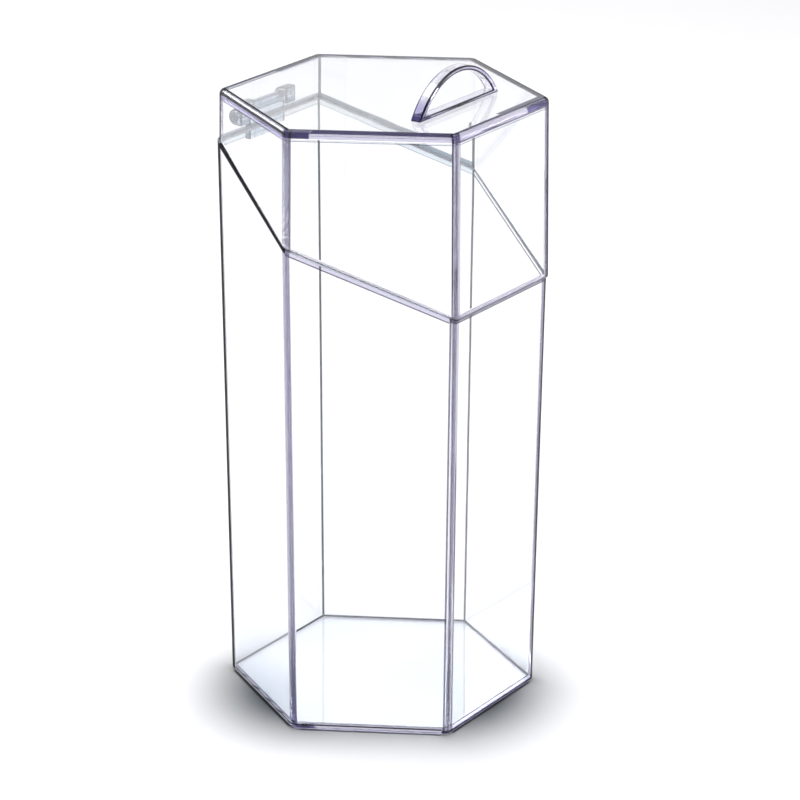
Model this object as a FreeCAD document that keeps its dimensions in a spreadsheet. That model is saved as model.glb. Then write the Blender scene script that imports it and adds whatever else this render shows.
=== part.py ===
import FreeCAD, Part
import os
import Sketcher

# Clear hexagonal canister for brushes: a drafted body, a lid cut on the slant that swings on a
# rear hinge, and a D handle on the lid. Millimetres and degrees, +Z up, the low front panel faces -Y,
# and the origin is the middle of the underside.

SIZES = [
    ("rim_flats", 96.0, "width across flats where body and lid meet, half way up the slant"),
    ("front_rim", 148.8, "height of the body's rim at the front panel"),
    ("rim_rise", 44.9, "rise of the slanted rim from the front panel to the rear panel"),
    ("lid_rear_height", 17.3, "height of the lid above the rim at the rear panel"),
    ("body_draft", 0.65, "mould draft of the body, which widens upwards"),
    ("lid_draft", 0.8, "mould draft of the lid, which narrows upwards"),
    ("wall", 2.5, "thickness of the panels"),
    ("floor_thick", 1.6, "thickness of the floor"),
    ("lid_plate", 3.2, "thickness of the lid's top"),
    ("rim_gap", 0.3, "open height between the two rims when shut"),
    ("corner_round", 3.0, "outer radius of the upright corners"),
    ("inner_round", 0.6, "inner radius of the upright corners"),
    ("foot_round", 1.0, "radius round the underside"),
    ("bead_round", 1.8, "radius round the lid's top"),
    ("bond_line", 0.05, "film of cement under a bonded piece"),
    ("handle_span", 45.4, "length of the handle's base"),
    ("handle_rise", 13.3, "height of the handle's arch"),
    ("handle_strip", 1.6, "thickness of the arch"),
    ("handle_base", 1.1, "thickness of the base bar"),
    ("handle_width", 3.8, "width of the handle"),
    ("handle_setback", 19.2, "from the lid's front top edge to the middle of the handle"),
    ("pin_diameter", 1.6, "hinge pin"),
    ("pin_run_clear", 0.05, "radial clearance of the pin in the barrel"),
    ("pin_seat_clear", 0.02, "radial clearance of the pin in the lid's blocks"),
    ("pin_recess", 0.4, "depth of the pin's ends inside the blocks"),
    ("barrel_wall", 1.0, "plastic round the pin in the body's leaf"),
    ("leaf_width", 17.0, "width of the body's leaf and its barrel"),
    ("leaf_thick", 1.8, "thickness of the body's leaf"),
    ("leaf_drop", 4.8, "reach of the leaf below the rear rim"),
    ("block_wall", 2.0, "plastic round the pin in each lid block"),
    ("block_width", 5.2, "width of each lid block"),
    ("block_lift", 1.2, "from the rear rim up to the lid blocks"),
    ("knuckle_gap", 0.3, "side play between the barrel and each block"),
]

# Heights, widths and the hinge axis, all worked out from the sizes. Both shells have their own origin
# on the rim half way up the slant, where they are equally wide.
MID_RIM = "(Sizes.front_rim + Sizes.rim_rise / 2)"
REAR_RIM = f"({MID_RIM} + Sizes.rim_rise / 2)"
TOP_ABOVE_MID = "(Sizes.rim_rise / 2 + Sizes.lid_rear_height)"
LID_TOP = f"({MID_RIM} + {TOP_ABOVE_MID})"
BARREL_RADIUS = "(Sizes.pin_diameter / 2 + Sizes.barrel_wall)"
BLOCK_RADIUS = "(Sizes.pin_diameter / 2 + Sizes.block_wall)"
BLOCK_OFFSET = "(Sizes.leaf_width / 2 + Sizes.knuckle_gap + Sizes.block_width / 2)"


def panel_depth(draft, above_mid):
    # Distance of a panel's outer face from the middle, at a height above the middle of the rim.
    return f"(Sizes.rim_flats / 2 + ({above_mid}) * tan({draft}))"


BODY_REAR = panel_depth("Sizes.body_draft", "Sizes.rim_rise / 2")
LID_REAR = panel_depth("-Sizes.lid_draft", "Sizes.rim_rise / 2")
LID_FRONT = panel_depth("-Sizes.lid_draft", TOP_ABOVE_MID)
AXIS_Y = f"({BODY_REAR} + Sizes.bond_line + {BARREL_RADIUS})"
AXIS_Z = f"({REAR_RIM} + Sizes.block_lift + {BLOCK_RADIUS})"
LEAF_FACE = BARREL_RADIUS
BLOCK_FACE = f"({AXIS_Y} - {LID_REAR} - Sizes.bond_line)"
HANDLE_Y = f"(Sizes.handle_setback - {LID_FRONT})"
HANDLE_Z = f"({LID_TOP} + Sizes.bond_line)"

doc = FreeCAD.newDocument("brush_canister")
sheet = doc.addObject("Spreadsheet::Sheet", "Sizes")
for row, (alias, number, note) in enumerate(SIZES, start=1):
    sheet.set(f"A{row}", alias)
    sheet.set(f"B{row}", str(number))
    sheet.setAlias(f"B{row}", alias)
    sheet.set(f"C{row}", note)
doc.recompute()


def value_of(expression):
    return float(sheet.evalExpression(expression))


def new_body(label, places=()):
    body = doc.addObject("PartDesign::Body", label)
    body.Label = label
    for axis, expression in places:
        body.setExpression(f"Placement.Base.{axis}", expression)
    return body


def origin_plane(body, role):
    return next(plane for plane in body.Origin.OriginFeatures if plane.Role == role)


def new_sketch(body, name, plane_role, offset=None):
    sketch = body.newObject("Sketcher::SketchObject", name)
    sketch.AttachmentSupport = (origin_plane(body, plane_role), [""])
    sketch.MapMode = "FlatFace"
    if offset is not None:
        sketch.setExpression("AttachmentOffset.Base.z", offset)
    return sketch


def drive(sketch, constraint, expression):
    name = f"size_{len(sketch.Constraints)}"
    sketch.renameConstraint(sketch.addConstraint(constraint), name)
    sketch.setExpression(f"Constraints.{name}", expression)


def drive_along(sketch, kind, geometry, point, expression):
    # Distance of a sketch point from the sketch's origin, along X or Y.
    amount = value_of(expression)
    if abs(amount) < 1e-9:
        axis = -2 if kind == "DistanceX" else -1
        sketch.addConstraint(Sketcher.Constraint("PointOnObject", geometry, point, axis))
    elif amount > 0:
        drive(sketch, Sketcher.Constraint(kind, -1, 1, geometry, point, amount), expression)
    else:
        drive(sketch, Sketcher.Constraint(kind, geometry, point, -1, 1, -amount), f"-({expression})")


def add_polygon(sketch, corners):
    # A closed outline whose corners are pairs of expressions.
    spots = [FreeCAD.Vector(value_of(x), value_of(y), 0) for x, y in corners]
    count = len(spots)
    for i in range(count):
        sketch.addGeometry(Part.LineSegment(spots[i], spots[(i + 1) % count]))
    for i in range(count):
        sketch.addConstraint(Sketcher.Constraint("Coincident", i, 2, (i + 1) % count, 1))
    for i, (x, y) in enumerate(corners):
        drive_along(sketch, "DistanceX", i, 1, x)
        drive_along(sketch, "DistanceY", i, 1, y)


def add_hexagon(sketch, flats):
    # Corners lie on the X axis, so that one panel faces -Y and the opposite one +Y.
    reach = f"({flats}) / sqrt(3)"
    turns = [60 * i for i in range(6)]
    add_polygon(sketch, [(f"{reach} * cos({turn})", f"{reach} * sin({turn})") for turn in turns])


def is_panel(face):
    return face.Surface.TypeId == "Part::GeomPlane" and abs(face.normalAt(0, 0).z) < 0.2


def faces_inward(face):
    # Panels of the hollow look towards the middle.
    outward = face.normalAt(0, 0)
    middle = face.CenterOfMass
    return is_panel(face) and outward.x * middle.x + outward.y * middle.y < 0


def draft_panels(body, name, base, wanted, angle, wider_up):
    # Leans the wanted panels about the middle of the rim.
    picked = [f"Face{i}" for i, face in enumerate(base.Shape.Faces, start=1) if wanted(face)]
    feature = body.newObject("PartDesign::Draft", name)
    feature.Base = (base, picked)
    feature.NeutralPlane = (origin_plane(body, "XY_Plane"), [""])
    feature.setExpression("Angle", angle)
    feature.Reversed = wider_up
    doc.recompute()
    return feature


def round_edges(body, name, base, wanted, radius):
    picked = [f"Edge{i}" for i, edge in enumerate(base.Shape.Edges, start=1) if wanted(edge)]
    feature = body.newObject("PartDesign::Fillet", name)
    feature.Base = (base, picked)
    feature.setExpression("Radius", radius)
    doc.recompute()
    return feature


def is_upright(edge):
    return abs(edge.tangentAt(edge.FirstParameter).z) > 0.9


def lies_at(edge, height):
    return all(abs(corner.Z - height) < 1e-4 for corner in edge.Vertexes)


def require_cut(feature, before):
    if feature.Shape.Volume > before - 1e-3:
        raise RuntimeError(f"{feature.Label} cut nothing")


def cut_through(body, name, sketch):
    # Cuts the sketch out of the body on both sides of the sketch's plane.
    before = body.Shape.Volume
    feature = body.newObject("PartDesign::Pocket", name)
    feature.Profile = sketch
    feature.Type = "ThroughAll"
    feature.SideType = "Symmetric"
    doc.recompute()
    require_cut(feature, before)
    return feature


def pad_both_sides(body, name, sketch, length):
    feature = body.newObject("PartDesign::Pad", name)
    feature.Profile = sketch
    feature.SideType = "Symmetric"
    feature.setExpression("Length", length)
    doc.recompute()
    return feature


def add_circle(sketch, radius):
    middle = FreeCAD.Vector(0, 0, 0)
    circle = sketch.addGeometry(Part.Circle(middle, FreeCAD.Vector(0, 0, 1), value_of(radius)))
    sketch.addConstraint(Sketcher.Constraint("Coincident", circle, 3, -1, 1))
    drive(sketch, Sketcher.Constraint("Radius", circle, value_of(radius)), radius)


def bore(body, name, clearance):
    sketch = new_sketch(body, f"{name}_circle", "YZ_Plane")
    add_circle(sketch, f"Sizes.pin_diameter / 2 + {clearance}")
    return cut_through(body, name, sketch)


def slant_cut(body, name, lift, edge_height):
    # Takes away everything from the slanted rim, raised by lift, to edge_height.
    reach = "Sizes.rim_flats"
    rise = "Sizes.rim_rise"
    sketch = new_sketch(body, f"{name}_outline", "YZ_Plane")
    add_polygon(sketch, [
        (f"-{reach}", f"{lift} - {rise}"),
        (reach, f"{lift} + {rise}"),
        (reach, edge_height),
        (f"-{reach}", edge_height),
    ])
    return cut_through(body, name, sketch)


def make_shell(label, low, length, draft, wider_up, edge_height, edge_round, hollow_low, hollow_length):
    # A hexagonal blank with leaning panels and round corners, hollowed upwards from hollow_low.
    body = new_body(label, [("z", MID_RIM)])
    plan = new_sketch(body, "plan", "XY_Plane", low)
    add_hexagon(plan, "Sizes.rim_flats")
    blank = body.newObject("PartDesign::Pad", "blank")
    blank.Profile = plan
    blank.setExpression("Length", length)
    doc.recompute()
    leaning = draft_panels(body, "outer_draft", blank, is_panel, draft, wider_up)
    rounded = round_edges(body, "outer_corners", leaning, is_upright, "Sizes.corner_round")
    level = value_of(edge_height)
    closed = round_edges(body, "end_edges", rounded, lambda edge: lies_at(edge, level), edge_round)
    mouth = new_sketch(body, "hollow_plan", "XY_Plane", hollow_low)
    add_hexagon(mouth, f"Sizes.rim_flats - 2 * Sizes.wall / cos({draft})")
    hollow = body.newObject("PartDesign::Pocket", "hollow")
    hollow.Profile = mouth
    hollow.setExpression("Length", hollow_length)
    hollow.Reversed = True
    doc.recompute()
    require_cut(hollow, closed.Shape.Volume)
    inner = draft_panels(body, "inner_draft", hollow, faces_inward, draft, not wider_up)
    inner_edges = [edge for face in inner.Shape.Faces if faces_inward(face) for edge in face.Edges]
    round_edges(
        body, "inner_corners", inner,
        lambda edge: is_upright(edge) and any(edge.isSame(other) for other in inner_edges),
        "Sizes.inner_round")
    return body


def make_body_shell():
    base = f"-{MID_RIM}"
    body = make_shell(
        "body_shell", base, LID_TOP, "Sizes.body_draft", True, base, "Sizes.foot_round",
        f"Sizes.floor_thick - {MID_RIM}", f"{LID_TOP} - Sizes.floor_thick")
    slant_cut(body, "rim", "0", f"{TOP_ABOVE_MID} + Sizes.rim_rise")
    return body


def make_lid_shell():
    skirt = "-Sizes.rim_rise"
    depth = f"{TOP_ABOVE_MID} + Sizes.rim_rise"
    body = make_shell(
        "lid_shell", skirt, depth, "Sizes.lid_draft", False, TOP_ABOVE_MID, "Sizes.bead_round",
        skirt, f"{depth} - Sizes.lid_plate")
    slant_cut(body, "rim", "Sizes.rim_gap", "-2 * Sizes.rim_rise")
    return body


def make_handle():
    # D loop: an arch of constant thickness over a straight base bar.
    body = new_body("lid_handle", [("y", HANDLE_Y), ("z", HANDLE_Z)])
    sketch = new_sketch(body, "loop", "XZ_Plane")
    half = value_of("Sizes.handle_span / 2")
    rise = value_of("Sizes.handle_rise")
    radius = (half * half + rise * rise) / (2 * rise)
    drop = radius - rise
    inner_radius = radius - value_of("Sizes.handle_strip")
    base = value_of("Sizes.handle_base")
    inner_half = (inner_radius ** 2 - (drop + base) ** 2) ** 0.5
    point = FreeCAD.Vector
    outer_arc = sketch.addGeometry(Part.Arc(point(half, 0, 0), point(0, rise, 0), point(-half, 0, 0)))
    foot_line = sketch.addGeometry(Part.LineSegment(point(-half, 0, 0), point(half, 0, 0)))
    inner_top = point(0, inner_radius - drop, 0)
    inner_arc = sketch.addGeometry(
        Part.Arc(point(inner_half, base, 0), inner_top, point(-inner_half, base, 0)))
    bar_line = sketch.addGeometry(Part.LineSegment(point(-inner_half, base, 0), point(inner_half, base, 0)))
    for arc, line in ((outer_arc, foot_line), (inner_arc, bar_line)):
        sketch.addConstraint(Sketcher.Constraint("Coincident", arc, 1, line, 2))
        sketch.addConstraint(Sketcher.Constraint("Coincident", arc, 2, line, 1))
        sketch.addConstraint(Sketcher.Constraint("Horizontal", line))
    sketch.addConstraint(Sketcher.Constraint("PointOnObject", outer_arc, 3, -2))
    sketch.addConstraint(Sketcher.Constraint("Coincident", outer_arc, 3, inner_arc, 3))
    sketch.addConstraint(Sketcher.Constraint("PointOnObject", foot_line, 1, -1))
    arch_radius = "((Sizes.handle_span / 2)^2 + Sizes.handle_rise^2) / (2 * Sizes.handle_rise)"
    inner_arch_radius = f"{arch_radius} - Sizes.handle_strip"
    drive(sketch, Sketcher.Constraint("DistanceX", foot_line, 1, foot_line, 2, 2 * half), "Sizes.handle_span")
    drive(sketch, Sketcher.Constraint("Radius", outer_arc, radius), arch_radius)
    drive(sketch, Sketcher.Constraint("Radius", inner_arc, inner_radius), inner_arch_radius)
    drive(sketch, Sketcher.Constraint("DistanceY", -1, 1, bar_line, 1, base), "Sizes.handle_base")
    pad_both_sides(body, "strip", sketch, "Sizes.handle_width")
    return body


def make_body_leaf():
    # Plate cemented to the rear panel, with the middle barrel of the hinge. Its own origin is the axis.
    body = new_body("body_hinge_leaf", [("y", AXIS_Y), ("z", AXIS_Z)])
    plate = new_sketch(body, "plate_outline", "YZ_Plane")
    rear = f"Sizes.leaf_thick - {LEAF_FACE}"
    foot = f"{REAR_RIM} - Sizes.leaf_drop - {AXIS_Z}"
    add_polygon(plate, [(f"-{LEAF_FACE}", foot), (rear, foot), (rear, "0"), (f"-{LEAF_FACE}", "0")])
    pad_both_sides(body, "plate", plate, "Sizes.leaf_width")
    barrel = new_sketch(body, "barrel_circle", "YZ_Plane")
    add_circle(barrel, BARREL_RADIUS)
    pad_both_sides(body, "barrel", barrel, "Sizes.leaf_width")
    bore(body, "barrel_bore", "Sizes.pin_run_clear")
    return body


def make_lid_block(label, side):
    # Lug cemented to the lid's rear panel, round behind the pin. Its own origin is the axis.
    body = new_body(label, [("x", f"{side} * {BLOCK_OFFSET}"), ("y", AXIS_Y), ("z", AXIS_Z)])
    outline = new_sketch(body, "lug_outline", "YZ_Plane")
    face = -value_of(BLOCK_FACE)
    radius = value_of(BLOCK_RADIUS)
    point = FreeCAD.Vector
    nose = outline.addGeometry(Part.Arc(point(0, -radius, 0), point(radius, 0, 0), point(0, radius, 0)))
    top = outline.addGeometry(Part.LineSegment(point(0, radius, 0), point(face, radius, 0)))
    front = outline.addGeometry(Part.LineSegment(point(face, radius, 0), point(face, -radius, 0)))
    foot = outline.addGeometry(Part.LineSegment(point(face, -radius, 0), point(0, -radius, 0)))
    for first, second in ((nose, top), (top, front), (front, foot), (foot, nose)):
        outline.addConstraint(Sketcher.Constraint("Coincident", first, 2, second, 1))
    outline.addConstraint(Sketcher.Constraint("Coincident", nose, 3, -1, 1))
    outline.addConstraint(Sketcher.Constraint("PointOnObject", nose, 1, -2))
    outline.addConstraint(Sketcher.Constraint("PointOnObject", nose, 2, -2))
    outline.addConstraint(Sketcher.Constraint("Horizontal", top))
    outline.addConstraint(Sketcher.Constraint("Horizontal", foot))
    outline.addConstraint(Sketcher.Constraint("Vertical", front))
    drive(outline, Sketcher.Constraint("Radius", nose, radius), BLOCK_RADIUS)
    drive(outline, Sketcher.Constraint("DistanceX", front, 1, -1, 1, -face), BLOCK_FACE)
    pad_both_sides(body, "lug", outline, "Sizes.block_width")
    bore(body, "pin_seat", "Sizes.pin_seat_clear")
    return body


def make_pin():
    body = new_body("hinge_pin", [("y", AXIS_Y), ("z", AXIS_Z)])
    section = new_sketch(body, "section", "YZ_Plane")
    add_circle(section, "Sizes.pin_diameter / 2")
    pad_both_sides(body, "rod", section, f"2 * {BLOCK_OFFSET} + Sizes.block_width - 2 * Sizes.pin_recess")
    return body


parts = [
    make_body_shell(),
    make_lid_shell(),
    make_handle(),
    make_body_leaf(),
    make_lid_block("lid_hinge_block_left", -1),
    make_lid_block("lid_hinge_block_right", 1),
    make_pin(),
]
doc.recompute()

for thing in doc.Objects:
    if "Invalid" in thing.State or "Error" in thing.State:
        raise RuntimeError(f"{thing.Label} failed: {thing.State}")
for piece in parts:
    if piece.Shape.isNull() or not piece.Shape.isValid() or len(piece.Shape.Solids) != 1:
        raise RuntimeError(f"{piece.Label} is not one valid solid")

os.makedirs("parts", exist_ok=True)
for piece in parts:
    piece.Shape.exportStep(f"parts/{piece.Label}.step")
    box = piece.Shape.BoundBox
    print(f"{piece.Label}: {piece.Shape.Volume:.0f} mm3, "
          f"x {box.XMin:.2f} to {box.XMax:.2f}, y {box.YMin:.2f} to {box.YMax:.2f}, "
          f"z {box.ZMin:.2f} to {box.ZMax:.2f}")
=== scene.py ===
import math

import bpy
import numpy as np
from mathutils import Matrix, Vector


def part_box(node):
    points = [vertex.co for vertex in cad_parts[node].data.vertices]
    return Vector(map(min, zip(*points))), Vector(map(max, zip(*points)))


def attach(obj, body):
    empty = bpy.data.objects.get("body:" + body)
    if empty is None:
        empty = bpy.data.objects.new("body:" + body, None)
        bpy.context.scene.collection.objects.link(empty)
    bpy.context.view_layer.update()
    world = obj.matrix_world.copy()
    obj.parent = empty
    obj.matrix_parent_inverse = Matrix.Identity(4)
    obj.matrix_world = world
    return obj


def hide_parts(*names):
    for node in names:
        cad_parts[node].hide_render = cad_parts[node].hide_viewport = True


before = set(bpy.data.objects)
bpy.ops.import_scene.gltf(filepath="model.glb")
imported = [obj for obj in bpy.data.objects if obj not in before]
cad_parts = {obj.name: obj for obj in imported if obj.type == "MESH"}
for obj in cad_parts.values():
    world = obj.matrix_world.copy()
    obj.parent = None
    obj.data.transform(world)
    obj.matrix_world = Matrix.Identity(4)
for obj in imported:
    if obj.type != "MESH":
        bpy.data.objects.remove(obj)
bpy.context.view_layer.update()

# Clear hexagonal brush canister with a slant-cut hinged lid. Metres, +Z up, low front panel towards -Y.
mm = 0.001
cos30 = math.cos(math.radians(30))
bodyLow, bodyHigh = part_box("body_shell")
lidLow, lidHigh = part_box("lid_shell")
print("frame loaded:", len(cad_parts), "nodes")

shells = dict(
    wall=2.5 * mm,
    floor=1.6 * mm,
    lidPlate=3.2 * mm,
    rimGap=0.3 * mm,
    bodyDraft=0.65,          # degrees, widens upwards
    lidDraft=-0.8,           # degrees, narrows upwards
    cornerRound=3.0 * mm,
    innerRound=0.6 * mm,
    footRound=1.0 * mm,
    beadRound=1.8 * mm,
    rimEdge=0.25 * mm,       # broken edge of the cut rims
    insideRound=0.4 * mm,    # where the panels meet the floor or the top
    arcSteps=14,             # steps round an upright corner
    endSteps=8,              # round the edge of the closed end
    edgeSteps=4,             # round every broken edge, those of the small pieces too
    insideSteps=5,
    guard=0.1 * mm,          # flat strip beside every rounding, so that panels shade flat
)
halfFlats = (bodyHigh.y - bodyLow.y) / 2
rimSlope = (bodyHigh.z - lidLow.z + shells["rimGap"]) / (bodyHigh.y - lidLow.y)
rimMid = bodyHigh.z - rimSlope * bodyHigh.y      # height of the rim's plane on the axis


def signedVolume(points, faces):
    # sum of p0 . (p1 x p2) / 6 over the triangles of every face
    quads = np.array([face if len(face) == 4 else face + [face[2]] for face in faces])
    p = points[quads]
    fans = np.cross(p[:, 1], p[:, 2]) + np.cross(p[:, 2], p[:, 3])
    return float((p[:, 0] * fans).sum() / 6)


def surfacePiece(name, rows, poles=None, edgeMap=None):
    # Grid of rows (v) by points round each row (u). u always closes. With two poles the end rows close
    # on them, otherwise v closes on itself. An edge map gives every face corner a UV in millimetres:
    # the way along the row and the distance from an edge.
    rowCount, around = rows.shape[:2]
    points = rows.reshape(-1, 3)
    last = rowCount if poles is None else rowCount - 1
    v, u = np.meshgrid(np.arange(last), np.arange(around), indexing="ij")
    nextV, nextU = (v + 1) % rowCount, (u + 1) % around
    quads = np.stack([v * around + u, v * around + nextU, nextV * around + nextU, nextV * around + u], -1)
    faces = quads.reshape(-1, 4).tolist()
    if poles is not None:
        ring = np.arange(around)
        start, end = len(points), len(points) + 1
        top = (rowCount - 1) * around
        faces += np.stack([np.roll(ring, -1), ring, np.full(around, start)], -1).tolist()
        faces += np.stack([top + ring, top + np.roll(ring, -1), np.full(around, end)], -1).tolist()
        points = np.vstack([points, poles])
    inverted = signedVolume(points, faces) < 0
    if inverted:
        faces = [face[::-1] for face in faces]
    mesh = bpy.data.meshes.new(name)
    mesh.from_pydata(points.tolist(), [], faces)
    mesh.shade_smooth()
    if edgeMap is not None:
        along, distance = edgeMap
        alongCorners = np.stack([along[u], along[u + 1], along[u + 1], along[u]], -1)
        near, far = distance[v, u], distance[nextV, u]
        nearNext, farNext = distance[v, nextU], distance[nextV, nextU]
        edgeCorners = np.stack([near, nearNext, farNext, far], -1)
        corners = np.stack([alongCorners, edgeCorners], -1).reshape(-1, 4, 2)
        corners = corners[:, ::-1] if inverted else corners
        mesh.uv_layers.new(name="edgeMap").data.foreach_set("uv", corners.ravel())
    mesh.validate()
    piece = bpy.data.objects.new(name, mesh)
    bpy.context.scene.collection.objects.link(piece)
    return piece


def quarter(steps):
    return np.linspace(0, math.pi / 2, steps + 1)


def directions(angle):
    # (cos, sin) of every angle
    return np.stack([np.cos(angle), np.sin(angle)], -1)


def hexPath(arcSteps, guard):
    # Corner directions, outward normals and guard slides along a rounded hexagon: an arc of 60 degrees
    # at each corner, with a guard point beside either end.
    swing = np.radians(np.concatenate([[-30], np.linspace(-30, 30, arcSteps + 1), [30]]))
    slide = np.concatenate([[-guard], np.zeros(arcSteps + 1), [guard]])
    corner = np.repeat(np.radians(60 * np.arange(6)), len(swing))
    turn = corner + np.tile(swing, 6)
    along = np.stack([-np.sin(turn), np.cos(turn)], -1) * np.tile(slide, 6)[:, None]
    return directions(corner) / cos30, directions(turn), along


hexCorner, hexNormal, hexAlong = hexPath(shells["arcSteps"], shells["guard"])


def hexRow(apothem, radius, z):
    # point = corner direction * (apothem - radius) / cos 30 + normal * radius + guard slide
    count = len(hexCorner)
    reach = np.broadcast_to(apothem, count)[:, None] - radius
    plan = hexCorner * reach + hexNormal * radius + hexAlong
    return np.column_stack([plan, np.broadcast_to(z, count)])


def makeShell(name, closedZ, innerZ, draft, rimLift, endRound):
    # One moulding, from the middle of the closed end over its rounded edge, the outer wall, the slanted
    # rim and the inner wall to the middle of the inside.
    wall, guard, edge = shells["wall"], shells["guard"], shells["rimEdge"]
    outerR, innerR, insideR = shells["cornerRound"], shells["innerRound"], shells["insideRound"]
    edgeTurn = quarter(shells["edgeSteps"])
    up = 1 if rimMid > closedZ else -1
    lean = math.tan(math.radians(draft))

    def levelRow(inset, z, radius):
        return hexRow(halfFlats + (z - rimMid) * lean - inset, radius, z)

    def rimRow(inset, drop):
        # meets the plane z = rimMid + lift + slope * y, less drop, on a wall that leans with the draft
        radius = outerR - inset * (outerR - innerR) / wall
        atMid = hexCorner * (halfFlats - inset - radius) + hexNormal * radius + hexAlong
        rise = (rimSlope * atMid[:, 1] + rimLift - up * drop) / (1 - rimSlope * lean * hexCorner[:, 1])
        return hexRow(halfFlats + rise * lean - inset, radius, rimMid + rise)

    rows = [levelRow(endRound + guard, closedZ, outerR - endRound - guard)]
    for t in quarter(shells["endSteps"]):
        inset = endRound * (1 - math.sin(t))
        rows.append(levelRow(inset, closedZ + up * endRound * (1 - math.cos(t)), outerR - inset))
    rows.append(levelRow(0, closedZ + up * (endRound + guard), outerR))
    rows.append(rimRow(0, edge + guard))
    rows += [rimRow(edge * (1 - math.cos(t)), edge * (1 - math.sin(t))) for t in edgeTurn]
    rows.append(rimRow(edge + guard, 0))
    rows.append(rimRow(wall - edge - guard, 0))
    rows += [rimRow(wall - edge * (1 - math.sin(t)), edge * (1 - math.cos(t))) for t in edgeTurn]
    rows.append(rimRow(wall, edge + guard))
    rows.append(levelRow(wall, innerZ + up * (insideR + guard), innerR))
    for t in quarter(shells["insideSteps"]):
        inset = insideR * (1 - math.cos(t))
        rows.append(levelRow(wall + inset, innerZ + up * insideR * (1 - math.sin(t)), innerR - inset))
    rows.append(levelRow(wall + insideR + guard, innerZ, innerR - insideR - guard))
    return surfacePiece(name, np.array(rows), np.array([[0, 0, closedZ], [0, 0, innerZ]]))


floorTop = bodyLow.z + shells["floor"]
plateUnder = lidHigh.z - shells["lidPlate"]
bodyClear = makeShell("bodyClear", bodyLow.z, floorTop, shells["bodyDraft"], 0, shells["footRound"])
lidClear = makeShell(
    "lidClear", lidHigh.z, plateUnder, shells["lidDraft"], shells["rimGap"], shells["beadRound"],
)
print("shells:", len(bodyClear.data.polygons), "and", len(lidClear.data.polygons), "faces")


def ringSurface(name, outer, inner, middle, halfWidth, edge, plane):
    # A loop of constant width: outer and inner outlines in one plane, carried across it, with broken
    # edges. Each row of the section holds the share of the way from outer to inner, an inset, the place
    # across and the distance from the edge.
    guard = shells["guard"]
    toInner = inner - outer
    thick = np.linalg.norm(toInner, axis=1)
    toInner = toInner / thick[:, None]
    flat = halfWidth - edge
    bend = quarter(shells["edgeSteps"])
    half = [(0, 0, 0, flat), (0, 0, flat - guard, guard)]
    half += [(0, edge * (1 - math.cos(t)), flat + edge * math.sin(t), 0) for t in bend]
    half += [(0, edge + guard, halfWidth, guard)]
    half += [(0.5, 0, halfWidth, thick / 2 - edge)]
    half += [(1, -edge - guard, halfWidth, guard)]
    half += [(1, -edge * (1 - math.sin(t)), flat + edge * math.cos(t), 0) for t in bend]
    half += [(1, 0, flat - guard, guard)]
    section = half + [(1, 0, 0, flat)]
    otherHalf = reversed(half[1:])
    section += [(share, inset, -across, distance) for share, inset, across, distance in otherHalf]
    rows = []
    edgeDistance = []
    for share, inset, across, distance in section:
        flatPoints = outer + toInner * (share * thick + inset)[:, None]
        spread = np.full(len(outer), across)
        inPlane = [flatPoints[:, 0], spread, flatPoints[:, 1]] if plane == "XZ" else [spread, flatPoints]
        rows.append(np.column_stack(inPlane))
        edgeDistance.append(np.broadcast_to(distance, len(outer)) / mm)
    steps = np.linalg.norm(np.roll(outer, -1, axis=0) - outer, axis=1)
    along = np.concatenate([[0], np.cumsum(steps)]) / mm
    return surfacePiece(name, np.array(rows) + np.array(middle), edgeMap=(along, np.array(edgeDistance)))


def arcPoints(centre, radius, start, end, steps):
    angle = np.radians(np.linspace(start, end, steps + 1))
    return np.array(centre) + radius * directions(angle)


def linePoints(start, end, steps):
    # straight run with a guard point just inside each end
    start, end = np.array(start, float), np.array(end, float)
    near = shells["guard"] / np.linalg.norm(end - start)
    share = np.linspace(0, 1, steps + 1)
    share[0], share[-1] = near, 1 - near
    return start + (end - start) * share[:, None]


handle = dict(strip=1.6 * mm, base=1.1 * mm, edge=0.3 * mm, archSteps=64, barSteps=12)
handleLow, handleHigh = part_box("lid_handle")
handleMiddle = (handleLow + handleHigh) / 2
handleFoot = (0, handleMiddle.y, handleLow.z)      # middle of the bar's underside


def makeHandle():
    # Arch of a circle through both feet and the crown, over a straight bar.
    half = (handleHigh.x - handleLow.x) / 2
    rise = handleHigh.z - handleLow.z
    radius = (half * half + rise * rise) / (2 * rise)
    centre = rise - radius
    innerRadius = radius - handle["strip"]
    innerHalf = math.sqrt(innerRadius ** 2 - (handle["base"] - centre) ** 2)
    outerStart = math.degrees(math.atan2(-centre, half))
    innerStart = math.degrees(math.atan2(handle["base"] - centre, innerHalf))
    outer = np.vstack([
        arcPoints((0, centre), radius, outerStart, 180 - outerStart, handle["archSteps"]),
        linePoints((-half, 0), (half, 0), handle["barSteps"]),
    ])
    inner = np.vstack([
        arcPoints((0, centre), innerRadius, innerStart, 180 - innerStart, handle["archSteps"]),
        linePoints((-innerHalf, handle["base"]), (innerHalf, handle["base"]), handle["barSteps"]),
    ])
    halfWidth = (handleHigh.y - handleLow.y) / 2
    return ringSurface("handleLoop", outer, inner, handleFoot, halfWidth, handle["edge"], "XZ")


handleLoop = makeHandle()
print("handle:", len(handleLoop.data.polygons), "faces")

hinge = dict(
    leafThick=1.8 * mm,
    barrelBore=0.85 * mm,
    seatBore=0.82 * mm,
    edge=0.25 * mm,
    pinChamfer=0.25 * mm,
    pinSides=40,
    plateSteps=6,            # steps along each stretch of the leaf's outline
    barrelSteps=48,
    footSteps=4,
    faceSteps=8,             # and of a block's outline
    lugSteps=4,
    noseSteps=36,
    leafBoreStart=215,       # where the points of a bore start, degrees
    blockBoreStart=228,
)
leafLow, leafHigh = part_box("body_hinge_leaf")
pinLow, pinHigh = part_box("hinge_pin")
pinMiddle = (pinLow + pinHigh) / 2
axisY, axisZ = pinMiddle.y, pinMiddle.z


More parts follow.
